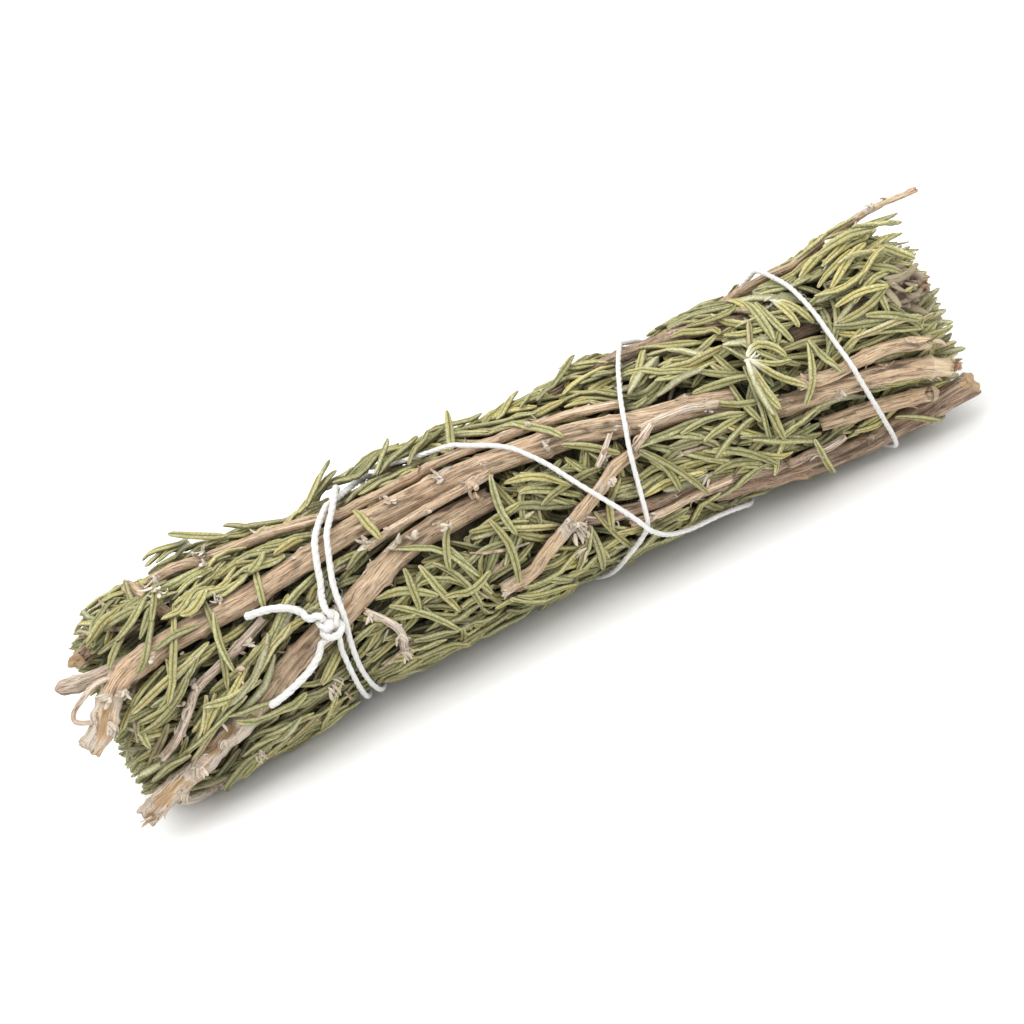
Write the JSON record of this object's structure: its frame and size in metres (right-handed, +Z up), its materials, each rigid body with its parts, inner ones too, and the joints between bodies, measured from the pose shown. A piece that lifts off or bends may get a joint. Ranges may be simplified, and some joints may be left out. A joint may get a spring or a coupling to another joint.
{
  "type": "rosemary bundle",
  "caption": "Long bundle of dried rosemary sprigs, woody stems and narrow needle leaves, wound and knotted with white cotton string, lying on its side.",
  "frame": {"origin": "on the surface below the middle of the bundle, at the bottom centre of its box", "axes": "+X along the bundle towards the end with the thick cut stems, +Z up, -Y towards the side with the knot"},
  "size_m": [0.2246, 0.0525, 0.0571],
  "materials": {
    "tan_bark": "matte",
    "brown_bark": "matte",
    "grey_bark": "matte",
    "dried_leaves": "matte",
    "cotton_string": "matte"
  },
  "bodies": {
    "root": {"inner_stem_a": "brown_bark", "inner_stem_b": "tan_bark", "inner_stem_c": "brown_bark", "left_tip_stem": "grey_bark", "left_brown_stem": "brown_bark", "under_stem": "brown_bark", "back_lower_stem": "brown_bark", "back_middle_stem": "tan_bark", "back_upper_stem": "tan_bark", "back_top_stem": "tan_bark", "top_right_stem": "brown_bark", "dry_curl_stem": "brown_bark", "lower_brown_stem": "brown_bark", "lower_right_stem": "brown_bark", "lower_left_stem": "tan_bark", "right_thick_stem": "tan_bark", "main_stem": "tan_bark", "right_branch": "tan_bark", "right_low_stem": "tan_bark", "mid_branch": "tan_bark", "upper_left_stub": "tan_bark", "upper_stem": "tan_bark", "lower_thin_twig": "tan_bark", "lower_side_twig": "grey_bark", "grey_twig": "grey_bark", "pale_lower_twig": "grey_bark", "woolly_twig": "grey_bark", "over_twig": "tan_bark", "poking_twig": "tan_bark", "leaves_top": "dried_leaves", "leaves_top_front": "dried_leaves", "leaves_front": "dried_leaves", "leaves_under_front": "dried_leaves", "leaves_underneath": "dried_leaves", "leaves_under_back": "dried_leaves", "leaves_back": "dried_leaves", "leaves_top_back": "dried_leaves", "string": "cotton_string"}
  },
  "joints": []
}
